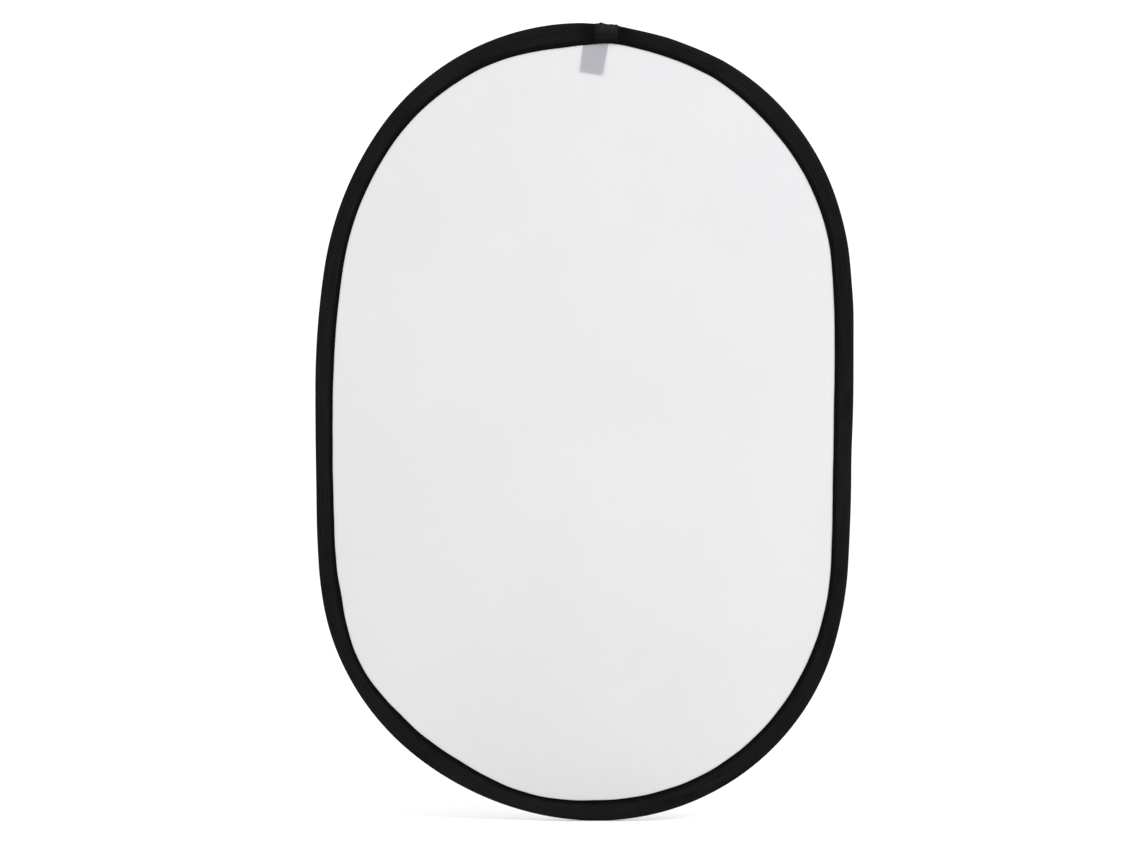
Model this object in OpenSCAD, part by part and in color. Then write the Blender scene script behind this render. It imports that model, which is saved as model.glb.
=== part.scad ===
// Collapsible oval reflector disc: a sprung steel hoop sewn into a woven binding
// round a thin translucent panel. The disc stands upright in the XZ plane, its
// front faces -Y and the middle of its box is at the origin.

/* [Disc] */
// Overall width of the finished disc
disc_w = 608; // [596:1:620]
// Overall height of the finished disc
disc_h = 900; // [885:1:915]
// Thickness of the panel fabric
panel_t = 0.3; // [0.2:0.05:0.4]
// How far the panel's edge lies inside the finished outline
panel_inset = 9; // [8:0.5:11]

/* [Hoop] */
// Width of the flat steel band, measured through the disc
band_w = 6; // [4:0.5:6]
// Thickness of the steel band
band_t = 0.9; // [0.6:0.05:0.9]
// Distance from the finished outline to the band
band_inset = 1.9; // [1.8:0.05:2]
// Length of the sleeve that joins the band's ends
sleeve_length = 30; // [24:1:40]
// Wall of the sleeve
sleeve_wall = 0.5; // [0.3:0.05:0.5]
// Distance of the hoop joint from the centre line, along X
joint_x = 26; // [20:1:30]

/* [Binding] */
// Width of the binding on each face
binding_w = 21.5; // [18:0.5:24]
// Thickness of one leaf of the binding tape
tape_t = 0.65; // [0.4:0.05:0.7]
// Half of the binding's thickness where it goes round the band
bulge = 4.3; // [4.2:0.05:4.4]
// Length of the lap patch over the hoop joint
lap_length = 28; // [22:1:34]

/* [Thread] */
// Distance from the binding's inner edge to the seam
seam_inset = 2; // [1:0.25:4]
// Width of a row of stitches
thread_w = 0.5; // [0.3:0.05:0.8]
// Height of a row of stitches above the tape
thread_h = 0.25; // [0.15:0.05:0.4]

/* [Label] */
// Width of the label
label_w = 28; // [15:1:40]
// Length of the label below the binding, down its middle
label_length = 32.5; // [20:0.5:50]
// Thickness of the label
label_t = 0.3; // [0.2:0.05:0.5]
// Distance of the label's top from the centre line, along X
label_x = 12.5; // [0:0.5:20]
// Lean of the label away from plumb, in degrees
label_lean = 9; // [0:1:15]

/* [Fold] */
// Distance between two bending lines
fold_pitch = 35; // [31:0.5:35.5]
// Gap at each bending line, which leaves room for the bulge as the disc folds
fold_gap = 1.6; // [1.5:0.1:2.4]

/* [Hidden] */
// The ends of the outline's two axes lie a little off the middle of its box: the top and
// bottom along X, the left and right along Z
top_x = -2;
bottom_x = 17;
left_z = 36;
right_z = 70;

// Each quarter of the outline is three tangent arcs: a flat side arc, a corner arc and
// an end arc. [sign of x, sign of z, degrees in the side arc, degrees in the corner arc,
// corner radius]
QUARTERS = [
    [1, 1, 4, 55, 290],
    [-1, 1, 8.5, 25.5, 375],
    [-1, -1, 2.2, 48, 287],
    [1, -1, 3, 12, 400]
];

// The hoop runs straighter beside its joint, where it lies this much further in at the
// middle of a stretch. The stretch's middle and half its extent are in degrees.
straight_depth = 2;
straight_middle = 75;
straight_half = 15;

// Lengths of the disc from the bottom up, with a bending line between each two
HALF_COUNT = 6;
LENGTHS = concat([for (k = [HALF_COUNT : -1 : 1]) str("lower_", k)], ["middle"],
                 [for (k = [1 : HALF_COUNT]) str("upper_", k)]);
LAST = len(LENGTHS) - 1;

small_fn = 48;
rim_step = 3;
clear_turn = 4;
side_steps = 3;

pocket_half = 3.7;
pocket_near = 0.7;
pocket_far = 3.8;
pocket_chamfer = 0.6;
bulge_chamfer = 1.3;
bulge_far = 5;
band_gap = 1;
sleeve_play = 0.1;
rivet_r = 1;
rivet_offset = 8;
tack_w = 1.6;
tack_h = 0.3;
tack_length = 10;
tack_inset = 0.5;
tack_margin = 2;
label_clear = 0.3;
label_hang = 4;

// The lap patch lies over the seam's stitches
lap_clear = thread_h + 0.05;
leaf_face = panel_t / 2 + tape_t;
band_far = band_inset + band_t;

// ---- Outline ----

// Radii of the side arc and the end arc of a quarter with half axes a and b
function quarter_radii(a, b, side, corner, r) =
    let (c1 = cos(side), s1 = sin(side), c2 = cos(side + corner), s2 = sin(side + corner),
         across = a - r * (c1 - c2), along = b - r * (s2 - s1),
         scale = (1 - c1) * (1 - s2) - c2 * s1)
    [(across * (1 - s2) - c2 * along) / scale, ((1 - c1) * along - s1 * across) / scale];

// The arcs of one quarter from its side to its end, each [centre, radius, first angle,
// last angle], as they lie in the first quarter with its axes crossing at 0
function plain_arcs(q, a, b) =
    let (side = q[2], turn = q[2] + q[3], r = q[4], radii = quarter_radii(a, b, side, q[3], r))
    [[[a - radii[0], 0], radii[0], 0, side],
     [[a - radii[0], 0] + (radii[0] - r) * [cos(side), sin(side)], r, side, turn],
     [[0, b - radii[1]], radii[1], turn, 90]];

// An arc of the first quarter mirrored into quarter q, running anticlockwise
function placed_arc(q, arc, x, z) =
    let (ends = [for (angle = [arc[2], arc[3]])
             let (half = q[0] > 0 ? angle : 180 - angle) q[1] > 0 ? half : 360 - half])
    [[x + q[0] * arc[0].x, z + q[1] * arc[0].y], arc[1], min(ends), max(ends)];

function quarter_arcs(q) =
    let (x = q[1] > 0 ? top_x : bottom_x, z = q[0] > 0 ? right_z : left_z,
         arcs = plain_arcs(q, disc_w / 2 - q[0] * x, disc_h / 2 - q[1] * z))
    [for (arc = arcs) placed_arc(q, arc, x, z)];

ARCS = [for (q = QUARTERS) each quarter_arcs(q)];

function arc_at(angle) = [for (arc = ARCS) if (arc[2] <= angle && angle <= arc[3]) arc][0];

// The arc of one side that crosses height z, when drawn in by inset
function arc_across(side, z, inset) =
    [for (arc = ARCS)
        let (low = arc[0].y + (arc[1] - inset) * sin(arc[2]),
             high = arc[0].y + (arc[1] - inset) * sin(arc[3]))
        if (side * cos((arc[2] + arc[3]) / 2) > 0 && (low - z) * (high - z) <= 0) arc][0];

// ---- Stations along the rim ----
// A station is either a section square to the rim, [angle], or a level section,
// [side, height]. The level ones end each length at its bending line.

function straightened(angle) =
    straight_depth * max(0, 1 - pow((angle - straight_middle) / straight_half, 2));

function rim_point(station, inset) =
    len(station) == 1
        ? let (arc = arc_at(station[0]), reach = arc[1] - inset - straightened(station[0]))
          arc[0] + reach * [cos(station[0]), sin(station[0])]
        : let (arc = arc_across(station[0], station[1], inset),
               rise = station[1] - arc[0].y, reach = arc[1] - inset)
          [arc[0].x + station[0] * sqrt(reach * reach - rise * rise), station[1]];

function line_z(i) = (i - LAST / 2 + 0.5) * fold_pitch;
function zone_low(i) = line_z(i - 1) + fold_gap / 2;
function zone_high(i) = line_z(i) - fold_gap / 2;

// Stations up one side of a length that lies between two bending lines
function side_stations(i, side) = [for (k = [0 : side_steps])
    [side, zone_low(i) + (zone_high(i) - zone_low(i)) * k / side_steps]];

// The rim's angle where it crosses height z on one side, from 0 to 360 degrees
function level_angle(side, z) =
    let (arc = arc_across(side, z, 0), rise = asin((z - arc[0].y) / arc[1]))
    side < 0 ? 180 - rise : rise < 0 ? 360 + rise : rise;

// Stations round the top or the bottom end, anticlockwise from height z on one side to
// height z on the other. Square ones keep clear of the level ones.
function end_stations(side, z) =
    let (first = level_angle(side, z) + clear_turn, last = level_angle(-side, z) - clear_turn,
         start = ceil(first / rim_step) * rim_step)
    concat([[side, z]], [for (angle = [start : rim_step : last]) [angle]], [[-side, z]]);

// A length's stretches of rim: one round an end, or the right side and the left side
function stretches(i) =
    i == LAST ? [end_stations(1, zone_low(i))] : i == 0 ? [end_stations(-1, zone_high(i))]
    : [side_stations(i, 1), reversed(side_stations(i, -1))];

function reversed(list) = [for (k = [len(list) - 1 : -1 : 0]) list[k]];

// The hoop joint lies on the end arc at the top right
JOINT_ARC = ARCS[2];
joint_angle = acos((joint_x - JOINT_ARC[0].x) / JOINT_ARC[1]);
function joint_turn(length) = length / JOINT_ARC[1] * 180 / PI;
function joint_stations(length, shift = 0) = [for (k = [-1, 0, 1])
    [joint_angle + joint_turn(shift + k * length / 2)]];

// ---- Solids ----

// Flat plate of the given outline, drawn in X and Z, between two distances to the front
module plate(points, from, to)
    rotate([90, 0, 0]) translate([0, 0, from]) linear_extrude(to - from) polygon(points);

// Bar of rectangular section along the rim, between two insets
module bar(stations, near, deep, from, to)
    plate(concat([for (s = stations) rim_point(s, near)],
                 reversed([for (s = stations) rim_point(s, deep)])), from, to);

// Folded strip along the rim. The two paths are the outside and the inside of its
// section, with as many points each, as [inset, distance to the front].
module folded_strip(stations, outside, inside) {
    loop = concat(outside, reversed(inside));
    count = len(loop);
    pairs = len(outside);
    final = (len(stations) - 1) * count;
    polyhedron(
        points = [for (s = stations, p = loop)
            let (at = rim_point(s, p[0])) [at.x, -p[1], at.y]],
        faces = concat(
            [for (s = [0 : len(stations) - 2], k = [0 : count - 1])
                let (next = (k + 1) % count, low = s * count, high = low + count)
                [low + next, low + k, high + k, high + next]],
            [for (k = [0 : pairs - 2]) [k, k + 1, count - 2 - k, count - 1 - k]],
            [for (k = [0 : pairs - 2])
                [final + count - 1 - k, final + count - 2 - k, final + k + 1, final + k]]
        )
    );
}

// Mirrors the front half of a section to the rear
function both_faces(half) =
    concat(half, [for (p = reversed(half)) [p[0], -p[1]]]);

function binding_outside(grow = 0) =
    let (top = bulge + grow, leaf = leaf_face + grow)
    both_faces([[binding_w, leaf], [panel_inset, leaf], [bulge_far, top],
                [bulge_chamfer, top], [-grow, top - bulge_chamfer - grow]]);

function binding_inside() =
    both_faces([[binding_w, panel_t / 2], [panel_inset, panel_t / 2],
                [pocket_far, pocket_half], [pocket_near + pocket_chamfer, pocket_half],
                [pocket_near, pocket_half - pocket_chamfer]]);

// Shafts of the two rivets, square to the band
module rivet_shafts(near, deep)
    for (side = [-1, 1])
        let (angle = joint_angle + joint_turn(side * rivet_offset), at = rim_point([angle], deep))
            translate([at.x, 0, at.y]) rotate([0, 90 - angle, 0])
                cylinder(r = rivet_r, h = deep - near, $fn = small_fn);

// ---- Sub-parts ----

// The stretches of rim of one length close into its outline
module panel(i)
    color("whitesmoke")
        plate([for (stations = stretches(i), s = stations) rim_point(s, panel_inset)],
              -panel_t / 2, panel_t / 2);

module binding(i)
    color("#1c1c1e")
        for (stations = stretches(i))
            folded_strip(stations, binding_outside(), binding_inside());

// The band's two ends meet inside the sleeve, and a rivet goes through each
module hoop_band(i)
    color("#8c9096") difference() {
        for (stations = stretches(i))
            bar(stations, band_inset, band_far, -band_w / 2, band_w / 2);
        if (i == LAST) {
            bar(joint_stations(band_gap), 0, 2 * band_far, -band_w, band_w);
            rivet_shafts(0, 2 * band_far);
        }
    }

// Needle thread on the front leaf and bobbin thread on the rear one
module seam_thread(i) {
    near = binding_w - seam_inset - thread_w / 2;
    color("#101012")
        for (stations = stretches(i), low = [leaf_face, -leaf_face - thread_h])
            bar(stations, near, near + thread_w, low, low + thread_h);
}

module band_sleeve() {
    outer = sleeve_play + sleeve_wall;
    stations = joint_stations(sleeve_length);
    half = band_w / 2;
    color("silver") difference() {
        bar(stations, band_inset - outer, band_far + outer, -half - outer, half + outer);
        bar(joint_stations(sleeve_length + 2), band_inset - sleeve_play,
            band_far + sleeve_play, -half - sleeve_play, half + sleeve_play);
        rivet_shafts(0, 2 * band_far);
    }
}

module band_rivets() {
    outer = sleeve_play + sleeve_wall;
    color("gainsboro") rivet_shafts(band_inset - outer, band_far + outer);
}

module binding_lap()
    color("#2a2a2c")
        folded_strip(joint_stations(lap_length), binding_outside(lap_clear + tape_t),
                     binding_outside(lap_clear));

module bar_tacks() {
    near = binding_w - tack_inset - tack_length;
    face = leaf_face + lap_clear + tape_t;
    color("#0c0c0d")
        for (end = [-1, 1], low = [face, -face - tack_h])
            bar(joint_stations(tack_w, end * (lap_length / 2 - tack_margin)),
                near, near + tack_length, low, low + tack_h);
}

// Hangs on the rear from the binding's inner edge, with its lower edge square to its sides
module label() {
    top = disc_h / 2 - binding_w - label_hang;
    down = -[sin(label_lean), cos(label_lean)];
    front = -panel_t / 2 - label_clear;
    corners = [for (side = [-1, 1]) [label_x + side * label_w / 2, top]];
    lengths = [for (side = [-1, 1]) label_length + side * label_w / 2 * sin(label_lean)];
    color("#6f6c96")
        plate([corners[0], corners[0] + lengths[0] * down,
               corners[1] + lengths[1] * down, corners[1]], front - label_t, front);
}

for (i = [0 : LAST]) panel(i);
for (i = [0 : LAST]) binding(i);
for (i = [0 : LAST]) hoop_band(i);
for (i = [0 : LAST]) seam_thread(i);
band_sleeve();
band_rivets();
binding_lap();
bar_tacks();
label();
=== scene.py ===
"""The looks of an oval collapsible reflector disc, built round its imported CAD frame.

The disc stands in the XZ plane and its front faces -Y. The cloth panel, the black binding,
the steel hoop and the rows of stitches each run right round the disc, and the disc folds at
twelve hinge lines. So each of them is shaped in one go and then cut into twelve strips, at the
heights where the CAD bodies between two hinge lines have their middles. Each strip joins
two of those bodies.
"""
import math

import bpy
import numpy as np
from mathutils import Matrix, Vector


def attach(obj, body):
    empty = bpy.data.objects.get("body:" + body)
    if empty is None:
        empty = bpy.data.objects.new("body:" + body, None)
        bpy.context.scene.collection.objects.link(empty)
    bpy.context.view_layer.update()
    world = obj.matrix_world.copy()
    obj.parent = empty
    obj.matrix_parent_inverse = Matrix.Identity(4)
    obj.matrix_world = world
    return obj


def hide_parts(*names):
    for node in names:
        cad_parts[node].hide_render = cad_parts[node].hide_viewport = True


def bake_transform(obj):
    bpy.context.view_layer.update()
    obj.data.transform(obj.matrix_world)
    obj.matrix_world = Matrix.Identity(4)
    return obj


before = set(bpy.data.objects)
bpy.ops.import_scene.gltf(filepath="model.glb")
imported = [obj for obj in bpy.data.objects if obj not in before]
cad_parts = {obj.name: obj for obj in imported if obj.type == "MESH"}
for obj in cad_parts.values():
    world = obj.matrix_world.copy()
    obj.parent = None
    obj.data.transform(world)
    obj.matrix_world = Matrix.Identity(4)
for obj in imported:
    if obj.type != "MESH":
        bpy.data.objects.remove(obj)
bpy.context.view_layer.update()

MM = 0.001
rng = np.random.default_rng(60)

# ---- Sizes in metres, angles in degrees, and counts ----

DISC_W = 608 * MM
DISC_H = 900 * MM
# Where the outline is highest, lowest, farthest left and farthest right
TOP_X = -2 * MM
BOTTOM_X = 17 * MM
LEFT_Z = 36 * MM
RIGHT_Z = 70 * MM

# Each quarter of the outline is three tangent arcs: sign of x, sign of z, degrees in the side
# arc, degrees in the corner arc, corner radius
QUARTERS = [
    (1, 1, 4, 55, 290 * MM),
    (-1, 1, 8.5, 25.5, 375 * MM),
    (-1, -1, 2.2, 48, 287 * MM),
    (1, -1, 3, 12, 400 * MM),
]
# Beside its joint the hoop runs straighter, up to this much further in
STRAIGHT_DEPTH = 2 * MM
STRAIGHT_MIDDLE = 75
STRAIGHT_HALF = 15  # half the extent of that stretch

PITCH = 35 * MM  # between two hinge lines
HALF_COUNT = 6  # hinge lines in each half of the disc
LAST_CUT = (HALF_COUNT - 1) * PITCH  # height of the outermost cut between two strips
TOP_BODY = f"upper_{HALF_COUNT}"
ROWS_PER_PITCH = 14
ROW_STEP = PITCH / ROWS_PER_PITCH

TAPE_T = 0.65 * MM
LEAF_H = 0.85 * MM  # from the panel's middle to the outer face of a leaf
BULGE_H = 4.3 * MM
SEAM_IN = 2.9 * MM  # from the binding's inner edge to the seam
SHOULDER = 5 * MM  # from the outline to the inner side of the bulge round the band
EDGE_WANDER = 0.12 * MM
EDGE_ROUND = 0.2 * MM
LEAF_GAP = 0.03 * MM
HALF_POINTS = 23  # from the binding's inner edge to its fold
OUTSIDE_POINTS = 2 * HALF_POINTS - 1
PUCKER_H = 0.17 * MM  # of the gathers beside the seam
SLACK_H = 0.16 * MM  # of the longer waves between the seam and the band
BASE_WIDTH = 20.4 * MM
# Where the binding is wider or narrower: degrees round the disc, extra width, spread in degrees
WIDE_SPOTS = [
    (5, 1.1 * MM, 14), (42, 0.7 * MM, 6), (57, 3.8 * MM, 9), (86, -2.3 * MM, 3),
    (89.5, 0.35 * MM, 1.2), (94, 5.2 * MM, 5.5), (109, 3.8 * MM, 11), (131, 0.4 * MM, 5),
    (160, 0.6 * MM, 12), (188, -1.4 * MM, 13), (204, -0.6 * MM, 5), (214, 2.0 * MM, 3.2),
    (226, -2.2 * MM, 4), (237, 1.6 * MM, 3), (247, 3.3 * MM, 6), (263, -1.6 * MM, 5),
    (278, 2.4 * MM, 10), (302, 2.7 * MM, 10), (313, 0.9 * MM, 7), (330, -1.1 * MM, 8),
    (352, 0.5 * MM, 8),
]
# Where the hoop's outline bulges a little: degrees round the disc, height, spread in degrees
OUTLINE_KNUCKLES = [
    (23, 0.9 * MM, 3.5), (39, -0.6 * MM, 4), (61, 0.5 * MM, 5), (77.7, 0.4 * MM, 1.2),
    (84.8, 0.5 * MM, 1.0), (202, 0.5 * MM, 4), (213, -0.6 * MM, 3.5), (268, 0.8 * MM, 7),
    (321, -0.4 * MM, 5), (353, -1.0 * MM, 5),
]
KNUCKLE_FADE = 9 * MM  # the inset at which they have faded out

PANEL_INSET = 9 * MM
PANEL_COLUMNS = 121
PANEL_ROWS_PER_PITCH = 7
END_ROWS = 64
PANEL_END = 0.15 * MM
PANEL_FREE = 24 * MM  # inset at which the panel is clear of the binding
CREASE_H = 0.30 * MM
CREASE_REACH = 15 * MM
SAG_H = 0.9 * MM
SAG_REACH = 90 * MM
PANEL_THROUGH = 0.568  # share of the light that goes through it

BAND_INSET = 1.9 * MM
BAND_T = 0.9 * MM
BAND_W = 6 * MM
JOINT_X = 26 * MM

STITCH_PITCH = 3.2 * MM
STITCH_LENGTH = 2.7 * MM
STITCH_LEAN = 0.03  # spread of the stitches' slopes
THREAD_R = 0.24 * MM

LAP_LENGTH = 28 * MM
LAP_GAP = 0.1 * MM
LAP_ROWS = 57
LAP_OVERHANG = 0.05 * MM
LAP_LEAF_SHARE = 0.45  # how much of the lap's humps is left near its inner edge
LAP_CREASE = 0.16 * MM
LAP_THINNING = 3 * MM  # over which each end of the lap thins down
LAP_RAGGED = 0.5 * MM
# Humps of the lap patch: place along the rim from its middle, height, spread
LAP_HUMPS = [(8.1 * MM, 1.05 * MM, 1.5 * MM), (5.0 * MM, 0.7 * MM, 3.0 * MM),
             (-4.5 * MM, 0.8 * MM, 3.4 * MM), (-9.6 * MM, 0.9 * MM, 1.7 * MM)]
TACK_ZIGS = 24
TACK_LENGTH = 10 * MM
TACK_W = 1.7 * MM
TACK_IN = 1.2 * MM  # from the binding's inner edge
TACK_THREAD_R = THREAD_R * 0.8

LABEL_W = 28 * MM
LABEL_LENGTH = 32.5 * MM
LABEL_X = 12.5 * MM
LABEL_LEAN = math.radians(9)
LABEL_T = 0.22 * MM
LABEL_DROP = 25.5 * MM  # from the disc's top to the line that the label swings about
LABEL_CURL = 0.8 * MM
LABEL_TAPER = 0.05  # how much narrower its lower end is
LABEL_CALM = 40 * MM  # about the label, the panel lies flat
LABEL_ROWS = 81
LABEL_COLUMNS = 17
LABEL_LIFT = (88.3, 0.5 * MM, 2.3)  # degrees round the disc, height, spread in degrees

FLOOR_SIZE = 60
FLOOR_TONE = 0.96
WORLD_STRENGTH = 1.15
# Name, place, side of its square, watts
SOFTBOXES = [("key_softbox", (1.6, -1.3, 1.2), 1.1, 27), ("top_softbox", (0.2, -0.6, 1.6), 0.8, 6)]
CAMERA_PLACE = (-0.0197, -4.0, -0.0040)
LENS_MM = 112.45
SENSOR_MM = 36


# ---- Outline ----

def quarter_arcs(sx, sz, side, corner, radius):
    """The three tangent arcs of one quarter: (centre x, centre z, radius, first, last)."""
    x0 = TOP_X if sz > 0 else BOTTOM_X
    z0 = RIGHT_Z if sx > 0 else LEFT_Z
    a, b = DISC_W / 2 - sx * x0, DISC_H / 2 - sz * z0
    c1, s1 = math.cos(math.radians(side)), math.sin(math.radians(side))
    c2, s2 = math.cos(math.radians(side + corner)), math.sin(math.radians(side + corner))
    across, along = a - radius * (c1 - c2), b - radius * (s2 - s1)
    scale = (1 - c1) * (1 - s2) - c2 * s1
    side_radius = (across * (1 - s2) - c2 * along) / scale
    end_radius = ((1 - c1) * along - s1 * across) / scale
    reach = side_radius - radius
    plain = [
        (a - side_radius, 0, side_radius, 0, side),
        (a - side_radius + reach * c1, reach * s1, radius, side, side + corner),
        (0, b - end_radius, end_radius, side + corner, 90),
    ]
    placed = []
    for cx, cz, r, first, last in plain:
        ends = [angle if sx > 0 else 180 - angle for angle in (first, last)]
        ends = sorted(angle if sz > 0 else 360 - angle for angle in ends)
        placed.append((x0 + sx * cx, z0 + sz * cz, r, ends[0], ends[1]))
    return placed


ARCS = sorted((arc for q in QUARTERS for arc in quarter_arcs(*q)), key=lambda arc: arc[3])


def rim_xz(theta, inset):
    """Points of the outline whose normals lie at theta degrees, drawn in by inset."""
    theta, inset = np.broadcast_arrays(np.asarray(theta, float), np.asarray(inset, float))
    share = (theta - STRAIGHT_MIDDLE) / STRAIGHT_HALF
    inset = inset + STRAIGHT_DEPTH * np.clip(1 - share ** 2, 0, None)
    x, z = np.zeros(theta.shape), np.zeros(theta.shape)
    for cx, cz, radius, first, last in ARCS:
        here = (theta >= first) & (theta <= last)
        turn = np.radians(theta[here])
        x[here] = cx + (radius - inset[here]) * np.cos(turn)
        z[here] = cz + (radius - inset[here]) * np.sin(turn)
    return x, z


def level_theta(side, height, inset):
    """Where the outline drawn in by inset crosses a height, on the side with that sign of x."""
    inset = np.asarray(inset, float)
    theta = np.zeros(inset.shape)
    for cx, cz, radius, first, last in ARCS:
        if side * math.cos(math.radians((first + last) / 2)) <= 0:
            continue
        reach = radius - inset
        ends = [cz + reach * math.sin(math.radians(angle)) for angle in (first, last)]
        rise = np.degrees(np.arcsin(np.clip((height - cz) / reach, -1, 1)))
        crossing = rise % 360 if side > 0 else 180 - rise
        hit = (np.minimum(*ends) <= height) & (height <= np.maximum(*ends))
        theta = np.where(hit, crossing, theta)
    return theta


ANGLES = np.linspace(0, 360, 7201)
REF_INSET = 10 * MM
ref_x, ref_z = rim_xz(ANGLES, REF_INSET)
ARC_LENGTHS = np.concatenate([[0], np.cumsum(np.hypot(np.diff(ref_x), np.diff(ref_z)))])
RIM_LENGTH = ARC_LENGTHS[-1]


def length_at(theta):
    """Distance along the rim, from the angle 0, of the section at theta degrees."""
    return np.interp(theta, ANGLES, ARC_LENGTHS)


def angle_at(length):
    return np.interp(length % RIM_LENGTH, ARC_LENGTHS, ANGLES)


# ---- Rows of the ring ----
# A row is a section through the rim. Between the lowest and the highest cut it is level, so
# that a strip can end on its cut. Round the two ends it turns evenly from level to level.

def level_row(side, height):
    return lambda inset: level_theta(side, height, inset)


def end_row(side, height, share):
    """A section round the end that starts at height on one side, a share of the way round."""
    def theta(inset):
        first = level_theta(side, height, inset)
        return first + (level_theta(-side, height, inset) - first) * share
    return theta


def ring_rows():
    """All rows anticlockwise from height 0 on the right, and the row at each cut."""
    rows, cuts = [], [0]

    def side_rows(side, start, stop):
        steps = round(abs(stop - start) / ROW_STEP)
        for k in range(1, steps + 1):
            rows.append(level_row(side, start + (stop - start) * k / steps))
            if k % ROWS_PER_PITCH == 0:
                cuts.append(len(rows) - 1)

    def end_rows(side, height):
        first, last = (float(level_theta(s, height, REF_INSET)) for s in (side, -side))
        lengths = length_at([first, last])
        steps = round((lengths[1] - lengths[0]) / ROW_STEP)
        for k in range(1, steps + 1):
            theta = angle_at(lengths[0] + (lengths[1] - lengths[0]) * k / steps)
            share = 1.0 if k == steps else (theta - first) / (last - first)
            rows.append(end_row(side, height, share))
        cuts.append(len(rows) - 1)

    rows.append(level_row(1, 0))
    side_rows(1, 0, LAST_CUT)
    end_rows(1, LAST_CUT)
    side_rows(-1, LAST_CUT, -LAST_CUT)
    end_rows(-1, -LAST_CUT)
    side_rows(1, -LAST_CUT, 0)
    return rows, cuts


ROWS, CUTS = ring_rows()
ROW_THETA = np.array([float(row(np.array(REF_INSET))) for row in ROWS])
ROW_LENGTH = length_at(ROW_THETA)
# The first rows may lie below the angle 0, and their lengths are then negative
ROW_LENGTH[:CUTS[1]] -= RIM_LENGTH * (ROW_THETA[:CUTS[1]] > 180)

# The strips: the bodies that the strip runs from and to, the heights where it starts and
# ends, and the stretches of ring between two cuts that it takes in, on the right and the left
STRIPS = []
STRETCHES = len(CUTS) - 1
for sign, half in ((1, "upper"), (-1, "lower")):
    chain = ["middle"] + [f"{half}_{k + 1}" for k in range(HALF_COUNT)]
    for k in range(HALF_COUNT):
        right = k if sign > 0 else STRETCHES - 1 - k
        left = (STRETCHES // 2 - 1 - right) % STRETCHES
        STRIPS.append({
            "from": chain[k], "to": chain[k + 1],
            "start": sign * k * PITCH, "end": sign * (k + 1) * PITCH,
            "stretches": sorted({(CUTS[n], CUTS[n + 1]) for n in (right, left)}),
        })


def bend(piece):
    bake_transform(piece)


def nodes_of(kind, strip):
    return [f"{kind}_{strip['from']}", f"{kind}_{strip['to']}"]


# ---- Shape helpers ----

def bumps(degrees, spots):
    """Sum of round bumps at angles round the disc: (degrees, height, spread)."""
    total = np.zeros(np.shape(degrees))
    for at, height, spread in spots:
        away = (degrees - at + 180) % 360 - 180
        total = total + height * np.exp(-(away / spread) ** 2 / 2)
    return total


def ripple(low, high, count):
    """A smooth random wave round the rim, of about unit height. Its waves number between low
    and high in one turn. Returns a function of distance along the rim."""
    waves = rng.integers(low, high, count)
    phases = rng.uniform(0, 2 * math.pi, count)
    weights = rng.uniform(0.5, 1, count)
    weights /= math.sqrt((weights ** 2).sum() / 2) * 1.4

    def wave(length):
        turn = np.asarray(length)[..., None] / RIM_LENGTH * 2 * math.pi
        return (weights * np.sin(waves * turn + phases)).sum(-1)
    return wave


def smooth_curve(points, count):
    """count points along a Catmull-Rom curve through the points, even in its own length."""
    p = np.array(points, float)
    padded = np.vstack([2 * p[0] - p[1], p, 2 * p[-1] - p[-2]])
    t = np.linspace(0, 1, 9)[:-1, None]
    fine = []
    for a, b, c, d in zip(padded, padded[1:], padded[2:], padded[3:]):
        fine.append(0.5 * (2 * b + (c - a) * t + (2 * a - 5 * b + 4 * c - d) * t ** 2
                           + (3 * b - a - 3 * c + d) * t ** 3))
    fine = np.vstack(fine + [p[-1:]])
    along = np.concatenate([[0], np.cumsum(np.hypot(*np.diff(fine, axis=0).T))])
    even = np.linspace(0, along[-1], count)
    return np.column_stack([np.interp(even, along, fine[:, k]) for k in (0, 1)])


def offset_path(path, distance):
    """The path moved sideways by a distance, to the right of its direction."""
    step = np.gradient(path, axis=0)
    step /= np.linalg.norm(step, axis=1, keepdims=True)
    return path + np.reshape(distance, (-1, 1)) * np.column_stack([step[:, 1], -step[:, 0]])


def make_object(name, verts, faces, uvs, sharp=None):
    """A smooth mesh object. uvs holds one pair for each corner of each face, and sharp the
    pairs of points whose edges stay sharp."""
    mesh = bpy.data.meshes.new(name)
    mesh.from_pydata([tuple(v) for v in verts], [], faces)
    mesh.update()
    mesh.shade_smooth()
    layer = mesh.uv_layers.new(name="Cloth")
    layer.data.foreach_set("uv", np.asarray(uvs, np.float32).ravel())
    if sharp:
        marks = mesh.attributes.new("sharp_edge", "BOOLEAN", "EDGE")
        flags = [tuple(sorted(edge.vertices)) in sharp for edge in mesh.edges]
        marks.data.foreach_set("value", flags)
    piece = bpy.data.objects.new(name, mesh)
    bpy.context.scene.collection.objects.link(piece)
    return piece


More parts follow.
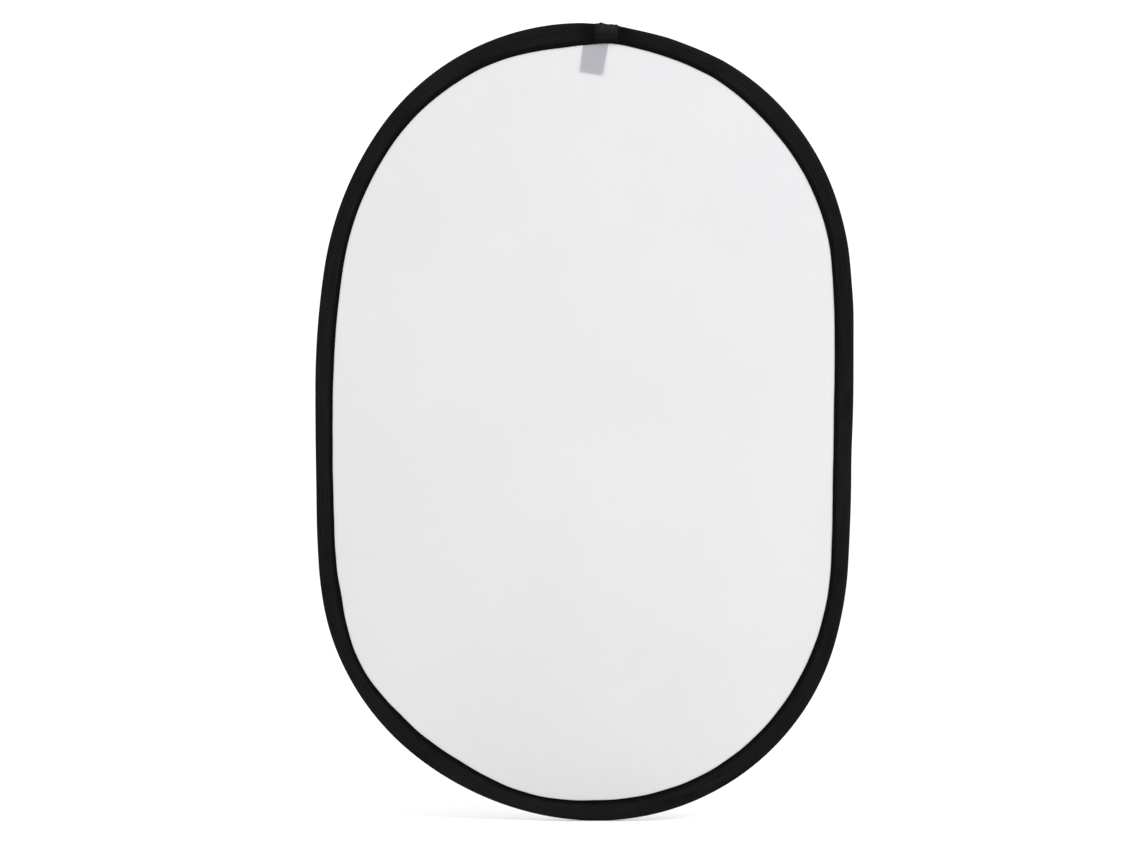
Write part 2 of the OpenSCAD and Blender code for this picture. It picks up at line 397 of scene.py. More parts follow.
def tube_piece(name, grid, lengths, around, stretches, cap):
    """The stretches of a ring whose rows are closed loops of one number of points. cap lists the
    faces that close a loop, as indices into it. UVs run along the rim and around the loop."""
    verts, faces, uvs, sharp = [], [], [], set()
    columns = grid.shape[1]
    for first, last in stretches:
        base = len(verts)
        verts.extend(grid[first:last + 1].reshape(-1, 3))
        for r in range(last - first):
            low, high = base + r * columns, base + (r + 1) * columns
            v0, v1 = lengths[first + r], lengths[first + r + 1]
            for c in range(columns):
                n = (c + 1) % columns
                faces.append((low + c, high + c, high + n, low + n))
                u0, u1 = around[c], around[c + 1]
                uvs += [(v0, u0), (v1, u0), (v1, u1), (v0, u1)]
        end = base + (last - first) * columns
        for loop, turn in ((base, 1), (end, -1)):
            for corners in cap:
                faces.append(tuple(loop + c for c in corners[::turn]))
                uvs += [(lengths[first], around[c]) for c in corners[::turn]]
            for c in range(columns):
                sharp.add(tuple(sorted((loop + c, loop + (c + 1) % columns))))
    return make_object(name, verts, faces, uvs, sharp)


# ---- The binding's section ----

edge_wave = ripple(14, 60, 9)
envelope_wave = ripple(5, 20, 6)
face_waves = [{"pucker": ripple(110, 330, 14), "slack": ripple(20, 70, 8),
               "flare": ripple(30, 90, 8)} for _ in range(2)]


def disc_angle(theta):
    """Degrees round the middle of the disc of the section whose normal lies at theta."""
    x, z = rim_xz(theta, 0)
    return float(np.degrees(np.arctan2(z, x)) % 360)


def binding_width(theta, length):
    extra = bumps(disc_angle(theta), WIDE_SPOTS) + edge_wave(length) * EDGE_WANDER
    return BASE_WIDTH + float(extra)


def binding_half(width, seam_h, edge_h):
    """Half of the binding's outside, from its inner edge to the rim: (inset, height)."""
    seam = width - SEAM_IN
    rise = BULGE_H - seam_h
    return [
        (width, edge_h), (width - 1.1 * MM, edge_h - 0.02 * MM),
        (seam + 0.8 * MM, seam_h + 0.10 * MM), (seam, seam_h),
        (seam - 0.9 * MM, seam_h + 0.26 * MM),
        (seam * 0.72 + SHOULDER * 0.28, seam_h + 0.38 * rise),
        (seam * 0.36 + SHOULDER * 0.64, seam_h + 0.74 * rise),
        (SHOULDER, BULGE_H - 0.06 * MM), (3.4 * MM, BULGE_H + 0.02 * MM),
        (1.9 * MM, BULGE_H - 0.25 * MM), (0.7 * MM, BULGE_H - 1.15 * MM),
        (0.1 * MM, BULGE_H - 2.6 * MM), (0, 0),
    ]


def binding_face(width, length, face, lift):
    """The front (face 0) or rear (face 1) half of the binding's outside at one section. lift
    is how far something under the leaf raises it."""
    waves = face_waves[face]
    loud = 0.55 + 0.45 * abs(envelope_wave(length))
    seam_h = LEAF_H - 0.14 * MM + lift
    edge_h = LEAF_H + (0.08 + 0.10 * waves["flare"](length)) * MM + lift
    half = smooth_curve(binding_half(width, seam_h, edge_h), HALF_POINTS)
    # The gathers stand just outside the seam, the slack about halfway from there to the band
    seam = width - SEAM_IN
    near_seam = np.exp(-((half[:, 0] - seam + 2.6 * MM) / (3.0 * MM)) ** 2)
    between = np.exp(-((half[:, 0] - 0.6 * seam) / (4 * MM)) ** 2)
    half[:, 1] += near_seam * loud * PUCKER_H * waves["pucker"](length)
    half[:, 1] += between * SLACK_H * waves["slack"](length)
    return half


def binding_outside(theta, length):
    """The binding's outside at one section, from the front's inner edge round to the rear's,
    as (inset, height towards the rear)."""
    degrees = disc_angle(theta)
    width = binding_width(theta, length)
    front = binding_face(width, length, 0, 0)
    rear = binding_face(width, length, 1, float(bumps(degrees, [LABEL_LIFT])))
    outside = np.vstack([front * [1, -1], rear[::-1][1:]])
    fade = np.clip(1 - outside[:, 0] / KNUCKLE_FADE, 0, 1)
    outside[:, 0] -= bumps(degrees, OUTLINE_KNUCKLES) * fade
    return outside


def folded_loop(outside, inside):
    """A closed loop from the two sides of a folded strip, with its two edges rounded off."""
    ends = [(outside[k] + inside[k]) / 2 + [EDGE_ROUND, 0] for k in (-1, 0)]
    return np.vstack([outside, ends[0], inside[::-1], ends[1]])


def folded_cap(count):
    """Faces that close such a loop, which has count points on its outside."""
    quads = [(k, k + 1, 2 * count - k - 1, 2 * count - k) for k in range(count - 1)]
    return quads + [(count - 1, count, count + 1), (2 * count, 2 * count + 1, 0)]


def loop_distances(loop):
    """Distance round a closed loop of each of its points, and of the first one again."""
    closed = np.vstack([loop, loop[:1]])
    return np.concatenate([[0], np.cumsum(np.hypot(*np.diff(closed, axis=0).T))])


def place(row, loop):
    """Points of one row: insets from the outline and heights towards the rear, as x, y, z."""
    x, z = rim_xz(row(loop[:, 0]), loop[:, 0])
    return np.column_stack([x, loop[:, 1], z])


def binding_loop(theta, length):
    outside = binding_outside(theta, length)
    inside = offset_path(outside, TAPE_T)
    sides = np.sign(outside[:, 1])
    inside[:, 1] = np.where(sides * inside[:, 1] < LEAF_GAP, sides * LEAF_GAP, inside[:, 1])
    return folded_loop(outside, inside)


loops = [binding_loop(theta, length) for theta, length in zip(ROW_THETA, ROW_LENGTH)]
binding_grid = np.array([place(row, loop) for row, loop in zip(ROWS, loops)])
binding_around = loop_distances(loops[0])
TAPE_REACH = float(binding_around[HALF_POINTS - 1])  # over the cloth, from inner edge to fold

bindings = []
for strip in STRIPS:
    piece = tube_piece(f"binding_tape_{strip['to']}", binding_grid, ROW_LENGTH,
                       binding_around, strip["stretches"], folded_cap(OUTSIDE_POINTS))
    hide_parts(*nodes_of("binding", strip))
    bindings.append(piece)


# ---- Hoop band ----

def band_loop():
    """The flat band's section, with its four corners taken off."""
    near, deep, half, corner = BAND_INSET, BAND_INSET + BAND_T, BAND_W / 2, 0.15 * MM
    return np.array([
        (near + corner, -half), (near, -half + corner), (near, half - corner),
        (near + corner, half), (deep - corner, half), (deep, half - corner),
        (deep, -half + corner), (deep - corner, -half)])


upper = ANGLES[ANGLES < 180]
JOINT_THETA = float(upper[np.argmin(np.abs(rim_xz(upper, 0)[0] - JOINT_X))])
JOINT_LENGTH = float(length_at(JOINT_THETA))
joint_row = int(np.argmin(np.abs(ROW_THETA - JOINT_THETA)))
band_grid = np.array([place(row, band_loop()) for row in ROWS])
BAND_CAP = [(0, 1, 6, 7), (1, 2, 5, 6), (2, 3, 4, 5)]

hoops = []
for strip in STRIPS:
    stretches = []
    for first, last in strip["stretches"]:
        cut = first < joint_row < last
        stretches += [(first, joint_row), (joint_row + 1, last)] if cut else [(first, last)]
    piece = tube_piece(f"steel_hoop_{strip['to']}", band_grid, ROW_LENGTH,
                       loop_distances(band_loop()), stretches, BAND_CAP)
    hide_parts(*nodes_of("hoop_band", strip))
    hoops.append(piece)


# ---- Stitches ----

def capsule(length, radius, rings=5, sides=6):
    """A stitch along X whose ends dip: points, faces and a UV for each face corner."""
    shares = np.linspace(-1, 1, rings + 2)[1:-1]
    points = [(-length / 2, 0, -radius)]
    for share in shares:
        thick = radius * math.sqrt(1 - (abs(share) * 0.92) ** 4)
        dip = -radius * 0.9 * share ** 2
        for k in range(sides):
            turn = 2 * math.pi * k / sides
            points.append((share * length / 2 * 0.96, thick * math.cos(turn),
                           dip + thick * math.sin(turn)))
    points.append((length / 2, 0, -radius))
    faces, uvs = [], []
    last = len(points) - 1
    for k in range(sides):
        n = (k + 1) % sides
        faces.append((0, 1 + n, 1 + k))
        uvs += [(0, k / sides), (0, (k + 1) / sides), (0, k / sides)]
        for r in range(rings - 1):
            a, b = 1 + r * sides, 1 + (r + 1) * sides
            faces.append((a + k, a + n, b + n, b + k))
            low, high = r * length / rings, (r + 1) * length / rings
            uvs += [(low, k / sides), (low, (k + 1) / sides), (high, (k + 1) / sides),
                    (high, k / sides)]
        faces.append((last, last - sides + k, last - sides + n))
        uvs += [(length, k / sides)] * 3
    return np.array(points), faces, uvs


def stitch_piece(name, stitches):
    """One mesh of many stitches, each (middle, direction along, direction away from the cloth,
    length, radius)."""
    verts, faces, uvs = [], [], []
    for middle, along, away, size, thick in stitches:
        points, corners, maps = capsule(size, thick)
        side = np.cross(away, along)
        base = len(verts)
        verts.extend(middle + points @ np.array([along, side, away]))
        faces.extend(tuple(base + c for c in face) for face in corners)
        uvs.extend(maps)
    return make_object(name, verts, faces, uvs)


def lap_height(shift):
    """How high the lap patch stands over the binding, at distances along the rim from its
    middle: humps, where the tape's ends are folded under over the sleeve, and creases."""
    humps = sum(height * np.exp(-((shift - at) / spread) ** 2) for at, height, spread in LAP_HUMPS)
    return humps + LAP_CREASE * np.sin(shift / (1.15 * MM)) * np.cos(shift / (3.1 * MM) + 0.8)


def surface_height(theta, length, inset, face):
    """Height of the cloth over the panel's middle at an inset, on the front or the rear."""
    half = binding_outside(theta, length)[::1 if face == 0 else -1][:HALF_POINTS]
    height = float(np.interp(inset, half[::-1, 0], np.abs(half[::-1, 1])))
    shift = length - JOINT_LENGTH
    if abs(shift) < LAP_LENGTH / 2:
        height += LAP_GAP + TAPE_T + float(lap_height(shift)) * LAP_LEAF_SHARE
    return height


def rim_frame(length, inset, face, shift=0.0):
    """A point on the cloth, the direction along the rim and the one away from the cloth."""
    theta = float(angle_at(length + shift))
    x, z = rim_xz(theta, inset)
    turn = math.radians(theta)
    away = np.array([0, 1.0 if face else -1.0, 0])
    height = surface_height(theta, length + shift, inset, face)
    return (np.array([x, away[1] * height, z]),
            np.array([-math.sin(turn), 0, math.cos(turn)]), away)


seam_rows = [[] for _ in STRIPS]
stitch_count = int(RIM_LENGTH / STITCH_PITCH)
for k in range(stitch_count):
    for face in (0, 1):
        length = (k + 0.5 * face) * RIM_LENGTH / stitch_count
        theta = float(angle_at(length))
        inset = binding_width(theta, length) - SEAM_IN
        middle, along, away = rim_frame(length, inset, face)
        lean = rng.normal(0, STITCH_LEAN)
        along = along + lean * np.cross(away, along)
        height = middle[2]
        half = 0 if height > 0 else HALF_COUNT
        strip_index = half + min(HALF_COUNT - 1, int(abs(height) / PITCH))
        seam_rows[strip_index].append((middle + away * 0.02 * MM, along / np.linalg.norm(along),
                                       away, STITCH_LENGTH, THREAD_R))

seams = []
for strip, stitches in zip(STRIPS, seam_rows):
    piece = stitch_piece(f"seam_stitches_{strip['to']}", stitches)
    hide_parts(*nodes_of("seam_thread", strip))
    seams.append(piece)


# ---- Lap patch and bar tacks ----

def lap_loop(length):
    """The lap patch's section: a tape that lies over the binding and wraps its edges."""
    theta = float(angle_at(length))
    under = binding_outside(theta, length)
    under[0, 0] += LAP_OVERHANG
    under[-1, 0] += LAP_OVERHANG
    shift = length - JOINT_LENGTH
    end = np.clip((LAP_LENGTH / 2 - abs(shift)) / LAP_THINNING, 0.1, 1) ** 0.5
    share = np.clip(1 - (under[:, 0] - SHOULDER) / (14 * MM), LAP_LEAF_SHARE, 1)
    uneven = 1 + 0.25 * np.sin(under[:, 0] / (2.3 * MM) + shift / (4 * MM))
    height = float(lap_height(shift)) * share * uneven
    inside = offset_path(under, -LAP_GAP)
    outside = offset_path(under, -LAP_GAP - (TAPE_T + np.maximum(height, -0.2 * MM)) * end)
    return folded_loop(outside, inside)


def lap_row(length):
    """A section of the lap patch. Its ends are a little ragged across the tape."""
    def theta(inset):
        ragged = (np.sin(inset / (2.9 * MM) + length / (7 * MM)) + 0.5 * np.sin(inset / (1.1 * MM))
                  + 0.3 * np.sin(inset / (0.43 * MM) + length / (9 * MM)))
        share = (length - JOINT_LENGTH) / (LAP_LENGTH / 2)
        return angle_at(length + LAP_RAGGED * ragged * share ** 3)
    return theta


lap_lengths = JOINT_LENGTH + np.linspace(-LAP_LENGTH / 2, LAP_LENGTH / 2, LAP_ROWS)
lap_loops = [lap_loop(length) for length in lap_lengths]
lap_grid = np.array([place(lap_row(length), loop) for length, loop in zip(lap_lengths, lap_loops)])
lap = tube_piece("binding_lap_patch", lap_grid, lap_lengths, loop_distances(lap_loops[0]),
                 [(0, LAP_ROWS - 1)], folded_cap(OUTSIDE_POINTS))
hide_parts("binding_lap")
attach(lap, TOP_BODY)

tack_stitches = []
for end in (-1, 1):
    for face in (0, 1):
        middle_length = JOINT_LENGTH + end * (LAP_LENGTH / 2 - TACK_W)
        width = binding_width(float(angle_at(middle_length)), middle_length)
        corners = []
        for k in range(TACK_ZIGS + 1):
            inset = width - TACK_IN - TACK_LENGTH * k / TACK_ZIGS
            shift = TACK_W / 2 * (1 if k % 2 else -1)
            corners.append(rim_frame(middle_length, inset, face, shift))
        for (a, _, away), (b, _, _) in zip(corners, corners[1:]):
            span = b - a
            size = float(np.linalg.norm(span))
            tack_stitches.append(((a + b) / 2 + away * 0.1 * MM, span / size, away,
                                  size * 1.1, TACK_THREAD_R))
tacks = stitch_piece("lap_bar_tacks", tack_stitches)
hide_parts("bar_tacks")
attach(tacks, TOP_BODY)


# ---- Panel ----

def level_x(side, height):
    return float(rim_xz(level_theta(side, height, PANEL_INSET), PANEL_INSET)[0])


def end_heights(sign):
    """Heights of the panel's rows from the outermost cut to its end, closer near the end."""
    last = DISC_H / 2 - PANEL_INSET - PANEL_END
    shares = np.sin(np.linspace(0, math.pi / 2, END_ROWS + 1))[1:]
    return sign * (LAST_CUT + (last - LAST_CUT) * shares)


SIDE_ROWS = (HALF_COUNT - 1) * PANEL_ROWS_PER_PITCH
side_heights = np.linspace(-LAST_CUT, LAST_CUT, 2 * SIDE_ROWS + 1)
panel_heights = np.concatenate([end_heights(-1)[::-1], side_heights, end_heights(1)])
shares = np.linspace(0, 1, PANEL_COLUMNS)
panel_x = np.array([level_x(-1, h) + (level_x(1, h) - level_x(-1, h)) * shares
                    for h in panel_heights])
panel_z = np.repeat(panel_heights[:, None], PANEL_COLUMNS, 1)

# Each point's distance from the outline, and the length along the rim of the nearest place
OUTLINE_STEP = 20
outline_x, outline_z = rim_xz(ANGLES[::OUTLINE_STEP], 0)
nearest = np.full(panel_x.shape, np.inf)
nearest_length = np.zeros(nearest.shape)
for x, z, length in zip(outline_x, outline_z, ARC_LENGTHS[::OUTLINE_STEP]):
    away = np.hypot(panel_x - x, panel_z - z)
    closer = away < nearest
    nearest = np.where(closer, away, nearest)
    nearest_length = np.where(closer, length, nearest_length)

tension_wave = ripple(28, 75, 10)
reach = np.clip((nearest - PANEL_FREE) / CREASE_REACH, 0, None)
panel_y = CREASE_H * tension_wave(nearest_length) * reach * np.exp(1 - reach)
calm = np.clip((nearest - PANEL_FREE) / SAG_REACH, 0, 1) ** 2
panel_y += calm * SAG_H * (np.sin(panel_x * 9.7 + 0.6) * np.cos(panel_z * 7.1 - 0.4)
                           + 0.5 * np.sin(panel_x * 4.0 - panel_z * 11.3 + 1.9))
label_away = np.hypot(panel_x - LABEL_X, panel_z - (DISC_H / 2 - LABEL_DROP - LABEL_LENGTH / 2))
panel_y *= 1 - np.exp(-(label_away / LABEL_CALM) ** 4)
panel_grid = np.stack([panel_x, panel_y, panel_z], -1)

MIDDLE_ROW = END_ROWS + SIDE_ROWS
panels = []
for strip, binding in zip(STRIPS, bindings):
    sign = 1 if strip["end"] > 0 else -1
    steps = PANEL_ROWS_PER_PITCH
    start = MIDDLE_ROW + round(strip["start"] / PITCH) * steps
    stop = start + sign * steps
    if strip["to"].endswith(f"_{HALF_COUNT}"):
        stop = len(panel_heights) - 1 if sign > 0 else 0
    low, high = sorted((start, stop))
    grid = panel_grid[low:high + 1]
    rows = len(grid)
    corners = [((r, c), (r, c + 1), (r + 1, c + 1), (r + 1, c))
               for r in range(rows - 1) for c in range(PANEL_COLUMNS - 1)]
    faces = [tuple(r * PANEL_COLUMNS + c for r, c in face) for face in corners]
    uvs = [(grid[r, c, 0], grid[r, c, 2]) for face in corners for r, c in face]
    piece = make_object(f"panel_cloth_{strip['to']}", grid.reshape(-1, 3), faces, uvs)
    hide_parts(*nodes_of("panel", strip))
    panels.append(piece)


# ---- Label ----

def label_loop():
    """The label's section down its length, (distance down, height towards the rear): a ribbon
    folded in two, with both ends tucked under the binding's rear leaf."""
    down = LABEL_LENGTH / MM
    middle = [(-9, 0.27), (-3, 0.27), (-1, 0.3), (3, 0.36), (14, 0.42), (down - 6, 0.42),
              (down - 1, 0.5), (down, 0.9), (down - 1, 1.3), (down - 6, 1.2), (14, 1.05),
              (3, 0.8), (-1, 0.6), (-3, 0.52), (-9, 0.52)]
    path = smooth_curve([(along * MM, high * MM) for along, high in middle], LABEL_ROWS)
    return np.vstack([offset_path(path, -LABEL_T / 2), offset_path(path, LABEL_T / 2)[::-1]])


label_down = np.array([-math.sin(LABEL_LEAN), 0, -math.cos(LABEL_LEAN)])
label_across = np.array([math.cos(LABEL_LEAN), 0, -math.sin(LABEL_LEAN)])
label_top = np.array([LABEL_X, 0, DISC_H / 2 - LABEL_DROP])
label_shares = np.linspace(-0.5, 0.5, LABEL_COLUMNS)
loop = label_loop()
label_rows = []
for share in label_shares:
    curl = LABEL_CURL * (2 * share) ** 2 * np.clip(loop[:, 0] / LABEL_LENGTH, 0, 1) ** 2
    taper = 1 - LABEL_TAPER * np.clip(loop[:, :1] / LABEL_LENGTH, 0, 1)
    label_rows.append(label_top + loop[:, :1] * label_down
                      + share * LABEL_W * taper * label_across
                      + (loop[:, 1] + curl)[:, None] * np.array([0, 1, 0]))
label_cap = [(k, k + 1, 2 * LABEL_ROWS - k - 2, 2 * LABEL_ROWS - k - 1)
             for k in range(LABEL_ROWS - 1)]
label = tube_piece("blank_label", np.array(label_rows), label_shares * LABEL_W,
                   loop_distances(loop), [(0, LABEL_COLUMNS - 1)], label_cap)
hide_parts("label")
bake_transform(label)

for strip, *pieces in zip(STRIPS, bindings, hoops, seams, panels):
    for piece in pieces:
        bend(piece)


# ---- Materials ----

class Nodes:
    """Builds one material's node tree."""

    def __init__(self, name):
        self.material = bpy.data.materials.new(name)
        self.material.use_nodes = True
        self.tree = self.material.node_tree
        self.tree.nodes.clear()
        self.output = self.add("ShaderNodeOutputMaterial")

    def add(self, kind, inputs=None, **settings):
        made = self.tree.nodes.new(kind)
        for key, value in settings.items():
            setattr(made, key, value)
        for key, value in (inputs or {}).items():
            self.feed(made.inputs[key], value)
        return made

    def feed(self, socket, value):
        """Links a socket, or sets its number or colour."""
        if isinstance(value, bpy.types.NodeSocket):
            self.tree.links.new(value, socket)
        else:
            socket.default_value = value

    def uv(self, across, along, turn=0.0):
        """Cloth coordinates, with so many repeats in a metre each way."""
        flat = self.add("ShaderNodeUVMap", uv_map="Cloth").outputs[0]
        return self.add("ShaderNodeMapping", {"Vector": flat, "Scale": (across, along, 1),
                                              "Rotation": (0, 0, turn)}).outputs[0]

    def cloth_distance(self, axis):
        """Metres along the rim (axis 0) or over the cloth across it (axis 1)."""
        return self.add("ShaderNodeSeparateXYZ", {0: self.uv(1, 1)}).outputs[axis]

    def where(self, scale):
        """The piece's own coordinates in metres, times a scale."""
        spot = self.add("ShaderNodeTexCoord").outputs["Object"]
        return self.add("ShaderNodeMapping", {"Vector": spot, "Scale": scale}).outputs[0]

    def noise(self, vector, scale=1.0, detail=3.0, rough=0.5):
        return self.add("ShaderNodeTexNoise", {"Vector": vector, "Scale": scale, "Detail": detail,
                                               "Roughness": rough}).outputs["Fac"]

    def bands(self, vector, direction="X", distortion=0.0):
        """Rounded bands, one for each unit of the vector."""
        return self.add("ShaderNodeTexWave", {"Vector": vector, "Scale": math.pi / 10,
                                              "Distortion": distortion, "Detail": 1.0},
                        bands_direction=direction).outputs["Fac"]

    def math(self, operation, a, b=0.0):
        return self.add("ShaderNodeMath", {0: a, 1: b}, operation=operation).outputs[0]

    def spread(self, value, low, high, new_low=0.0, new_high=1.0):
        """A value's range from low to high stretched onto a new range."""
        return self.add("ShaderNodeMapRange", {"Value": value, "From Min": low, "From Max": high,
                                               "To Min": new_low, "To Max": new_high}).outputs[0]

    def mix(self, factor, a, b):
        """A mix of two colours, which are the node's inputs 6 and 7."""
        made = self.add("ShaderNodeMix", data_type="RGBA")
        for socket, value in ((0, factor), (6, a), (7, b)):
            self.feed(made.inputs[socket], value)
        return made.outputs[2]

    def bump(self, height, distance, normal=None):
        """Relief of a height from 0 to 1, which stands for a distance, over another relief."""
        made = self.add("ShaderNodeBump", {"Height": height, "Distance": distance, "Strength": 1.0})
        if normal is not None:
            self.feed(made.inputs["Normal"], normal)
        return made.outputs[0]

    def principled(self, **inputs):
        return self.add("ShaderNodeBsdfPrincipled",
                        {key.replace("_", " "): value for key, value in inputs.items()}).outputs[0]

    def finish(self, shader):
        self.feed(self.output.inputs["Surface"], shader)
        return self.material


def grey(value, blue=0.0):
    """A grey, with its blue raised by a share."""
    return (value, value, value * (1 + blue), 1)


def panel_material():
    """Thin white nylon: a plain weave, with slightly thicker yarns here and there. Its brightener
    makes it reflect a little bluer than it lets through."""
    n = Nodes("panel_nylon")
    weave = n.math("ADD", n.bands(n.uv(2200, 2200), "X"), n.bands(n.uv(2200, 2200), "Y"))
    slubs = n.math("ADD", n.noise(n.uv(900, 14), detail=2), n.noise(n.uv(14, 900), detail=2))
    cloud = n.noise(n.uv(6, 6), detail=2)
    height = n.math("ADD", n.math("MULTIPLY", weave, 0.35), slubs)
    normal = n.bump(height, 0.04 * MM)

    def tint(blue):
        plain = n.mix(n.spread(cloud, 0.35, 0.65), grey(0.614, blue + 0.004), grey(0.628, blue))
        return n.mix(n.spread(slubs, 0.8, 1.2, 0, 0.35), plain, grey(0.601, blue + 0.007))

    front = n.principled(Base_Color=tint(0.07), Roughness=0.62, Specular_IOR_Level=0.2,
                         Normal=normal, Sheen_Weight=0.05, Sheen_Roughness=0.4)
    through = n.add("ShaderNodeBsdfTranslucent", {"Color": tint(-0.045), "Normal": normal})
    mixed = n.add("ShaderNodeMixShader", {0: PANEL_THROUGH, 1: front, 2: through.outputs[0]})
    return n.finish(mixed.outputs[0])


def tape_weave(n):
    """The relief of woven tape: a twill of fine ribs over tension streaks and slack patches."""
    twill = n.bands(n.uv(1150, 1150, math.radians(38)), "X", 0.6)
    yarns = n.bands(n.uv(2600, 2600, math.radians(-52)), "X", 0.4)
    streaks = n.noise(n.uv(16, 700), detail=4, rough=0.6)
    patches = n.noise(n.uv(45, 60), detail=4, rough=0.55)
    weave = n.math("ADD", twill, n.math("MULTIPLY", yarns, 0.4))
    normal = n.bump(streaks, 0.22 * MM, n.bump(patches, 0.35 * MM))
    return weave, streaks, patches, n.bump(weave, 0.16 * MM, normal)


def from_fold(n):
    """Distance over the cloth from the tape's fold, which is its outer edge."""
    return n.math("ABSOLUTE", n.math("SUBTRACT", n.cloth_distance(1), TAPE_REACH))


def from_joint(n):
    """Distance along the rim from the middle of the hoop joint."""
    return n.math("ABSOLUTE", n.math("SUBTRACT", n.cloth_distance(0), JOINT_LENGTH))


def tape_colour(n, weave, streaks, patches, worn):
    """Black, a shade lighter along the streaks and in slack patches, with painted shade near its
    inner edge beside the seam and along its fold, and a little lint."""
    lint = n.noise(n.uv(900, 900), detail=1)
    drift = n.noise(n.uv(5, 20), detail=2)
    colour = n.mix(n.spread(patches, 0.35, 0.68), grey(0.0020, 0.1), grey(0.0047, 0.06))
    colour = n.mix(n.spread(streaks, 0.42, 0.66, 0, 0.75), colour, grey(0.0106, 0.05))
    colour = n.mix(n.spread(drift, 0.40, 0.70, 0, 0.40), colour, grey(0.0115, 0.05))
    colour = n.mix(n.spread(weave, 0.0, 1.4, 0.35, 0.0), colour, grey(0.0020, 0.1))
    # Painted shade: darkest within about 3 mm of the inner edge, beside the seam, fading out by 6
    # mm
    painted_seam_shade = n.spread(from_fold(n), TAPE_REACH - 6.0 * MM, TAPE_REACH - 3.2 * MM, 0, 0.95)
    colour = n.mix(painted_seam_shade, colour, grey(0.0008, 0.1))
    # Painted shade: darker within about 2 to 4 mm of the fold, the tape's outer edge
    edge = n.spread(from_fold(n), 2.2 * MM, 4.2 * MM, 0.55, 0)
    colour = n.mix(edge, colour, grey(0.0022, 0.1))
    return n.mix(n.spread(lint, 0.72, 0.80, 0, worn), colour, grey(0.10, 0.02))


def tape_material():
    """Black woven polyester tape, with painted shadow darkening it beside the lap."""
    n = Nodes("binding_tape_cloth")
    weave, streaks, patches, normal = tape_weave(n)
    colour = tape_colour(n, weave, streaks, patches, 0.2)
    # Painted shadow: darker out to 22 mm from the joint's middle, fading out by 36 mm
    painted_lap_shadow = n.spread(from_joint(n), 22 * MM, 36 * MM, 0.85, 0)
    colour = n.mix(painted_lap_shadow, colour, grey(0.0012, 0.1))
    return n.finish(n.principled(Base_Color=colour,
                                 Roughness=n.spread(patches, 0.3, 0.7, 0.72, 0.9),
                                 Normal=normal, Specular_IOR_Level=0.045, Sheen_Weight=0.02,
                                 Sheen_Roughness=0.5))


def lap_material():
    """The same tape where it is lapped: rubbed grey on its crumpled folds, which fade out
    towards its inner edge and its two ends. Painted shadow darkens its two ends."""
    n = Nodes("lap_tape_cloth")
    weave, streaks, patches, normal = tape_weave(n)
    mottle = n.noise(n.where((170, 170, 170)), detail=3, rough=0.6)
    off_middle = from_joint(n)
    wander = n.math("MULTIPLY", n.math("SUBTRACT", mottle, 0.5), 12 * MM)
    ends = n.spread(n.math("ADD", off_middle, wander), 9 * MM, 13.5 * MM, 1, 0)
    inner = n.spread(n.math("ADD", from_fold(n), wander), 8.5 * MM, 15 * MM, 1, 0)
    rubbed = n.math("MULTIPLY", n.math("MULTIPLY", ends, inner),
                    n.spread(mottle, 0.36, 0.60, 0.25, 1))
    rubbed_colour = n.mix(n.spread(weave, 0.0, 1.2), grey(0.0090, 0.06), grey(0.0225, 0.04))
    colour = tape_colour(n, weave, streaks, patches, 0.7)
    # Painted shadow: darker from 10.5 mm off the joint's middle out to each end of the lap
    painted_end_shadow = n.spread(off_middle, 10.5 * MM, 13.0 * MM, 0, 0.8)
    colour = n.mix(painted_end_shadow, colour, grey(0.0018, 0.1))
    colour = n.mix(rubbed, colour, rubbed_colour)
    return n.finish(n.principled(Base_Color=colour, Roughness=n.spread(rubbed, 0, 1, 0.8, 0.92),
                                 Normal=n.bump(mottle, 0.6 * MM, normal), Specular_IOR_Level=0.055,
                                 Sheen_Weight=0.025, Sheen_Roughness=0.5))


def thread_material():
    """Black polyester thread of three twisted plies."""
    n = Nodes("black_thread")
    plies = n.bands(n.uv(1400, 3, math.radians(20)), "DIAGONAL", 0.3)
    normal = n.bump(plies, 0.08 * MM)
    colour = n.mix(plies, grey(0.0015, 0.1), grey(0.0045, 0.1))
    return n.finish(n.principled(Base_Color=colour, Roughness=0.55, Normal=normal,
                                 Specular_IOR_Level=0.08, Sheen_Weight=0.01))


def label_material():
    """Violet-grey satin ribbon with a fine weft rib, and a plainer selvedge along each side."""
    n = Nodes("label_ribbon")
    weft = n.bands(n.uv(600, 3600), "Y", 0.5)
    warp = n.bands(n.uv(4200, 600), "X", 0.5)
    cloud = n.noise(n.uv(160, 160), detail=3)
    off_middle = n.math("ABSOLUTE", n.cloth_distance(0))
    selvedge = n.spread(off_middle, LABEL_W / 2 - 1.3 * MM, LABEL_W / 2 - 0.9 * MM)
    colour = n.mix(n.spread(cloud, 0.3, 0.7), (0.094, 0.090, 0.165, 1), (0.116, 0.111, 0.198, 1))
    colour = n.mix(n.math("MULTIPLY", selvedge, 0.6), colour, (0.060, 0.057, 0.108, 1))
    colour = n.mix(n.spread(weft, 0, 1, 0.4, 0), colour, (0.055, 0.052, 0.098, 1))
    normal = n.bump(n.math("ADD", weft, n.math("MULTIPLY", warp, 0.5)), 0.10 * MM)
    return n.finish(n.principled(Base_Color=colour, Roughness=0.38, Normal=normal,
                                 Sheen_Weight=0.2, Sheen_Roughness=0.35,
                                 Specular_IOR_Level=0.45))


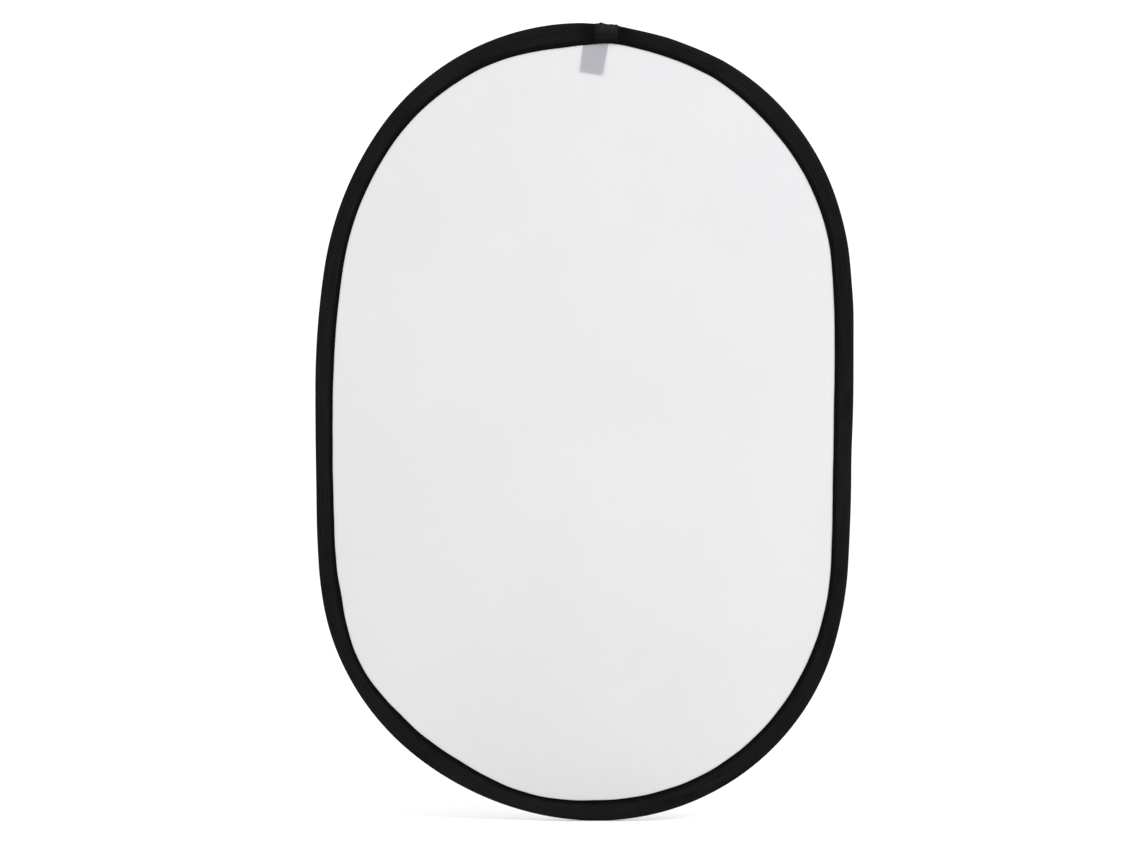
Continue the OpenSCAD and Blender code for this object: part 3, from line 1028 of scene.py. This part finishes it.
def steel_material(name, colour, rough, grain):
    """Metal with a drawn or rolled grain, and darker or duller patches."""
    n = Nodes(name)
    lines = n.noise(n.where(grain), detail=4, rough=0.6)
    patches = n.noise(n.where((90, 90, 90)), detail=3)
    tint = n.mix(n.spread(patches, 0.35, 0.7, 0, 0.6), (*colour, 1),
                 (*[c * 0.6 for c in colour], 1))
    normal = n.bump(lines, 0.03 * MM)
    dull = n.math("ADD", n.spread(lines, 0.3, 0.7, rough - 0.08, rough + 0.08),
                  n.spread(patches, 0.4, 0.7, 0, 0.12))
    return n.finish(n.principled(Base_Color=tint, Roughness=dull, Metallic=1.0, Normal=normal))


def floor_material():
    """Matt white paper, with a faint cloudiness."""
    n = Nodes("pale_floor")
    cloud = n.noise(n.where((0.7, 0.7, 0.7)), detail=2)
    tint = n.mix(cloud, grey(FLOOR_TONE), grey(FLOOR_TONE * 0.985))
    return n.finish(n.principled(Base_Color=tint, Roughness=0.9, Specular_IOR_Level=0.1))


def paint(material, *pieces):
    for piece in pieces:
        piece.data.materials.clear()
        piece.data.materials.append(material)


paint(panel_material(), *panels)
paint(tape_material(), *bindings)
paint(lap_material(), lap)
paint(thread_material(), *seams, tacks)
paint(label_material(), label)
paint(steel_material("blued_spring_steel", (0.30, 0.32, 0.36), 0.32, (300, 300, 300)), *hoops)
paint(steel_material("zinc_sleeve_steel", (0.62, 0.63, 0.65), 0.38, (40, 900, 900)),
      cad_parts["band_sleeve"])
paint(steel_material("bright_rivet_steel", (0.70, 0.70, 0.71), 0.25, (500, 500, 500)),
      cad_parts["band_rivets"])


# ---- Floor, light and camera ----

bpy.ops.mesh.primitive_plane_add(size=FLOOR_SIZE, location=(0, 0, binding_grid[:, :, 2].min()))
floor = bpy.context.object
floor.name = "floor"
floor.data.materials.append(floor_material())

world = bpy.data.worlds.new("white_surround")
bpy.context.scene.world = world
world.use_nodes = True
world.node_tree.nodes["Background"].inputs["Color"].default_value = (1, 1, 1, 1)
world.node_tree.nodes["Background"].inputs["Strength"].default_value = WORLD_STRENGTH


def softbox(name, spot, side, watts):
    """A square light that faces the disc's middle."""
    light = bpy.data.lights.new(name, "AREA")
    light.shape = "SQUARE"
    light.size = side
    light.energy = watts
    lamp = bpy.data.objects.new(name, light)
    lamp.location = spot
    lamp.rotation_euler = (-Vector(spot)).to_track_quat("-Z", "Y").to_euler()
    bpy.context.scene.collection.objects.link(lamp)


for box in SOFTBOXES:
    softbox(*box)

camera_data = bpy.data.cameras.new("camera")
camera_data.sensor_width = SENSOR_MM
camera_data.lens = LENS_MM
camera = bpy.data.objects.new("camera", camera_data)
camera.location = CAMERA_PLACE
camera.rotation_euler = (math.radians(90), 0, 0)
bpy.context.scene.collection.objects.link(camera)
bpy.context.scene.camera = camera

bpy.context.scene.view_settings.view_transform = "Standard"
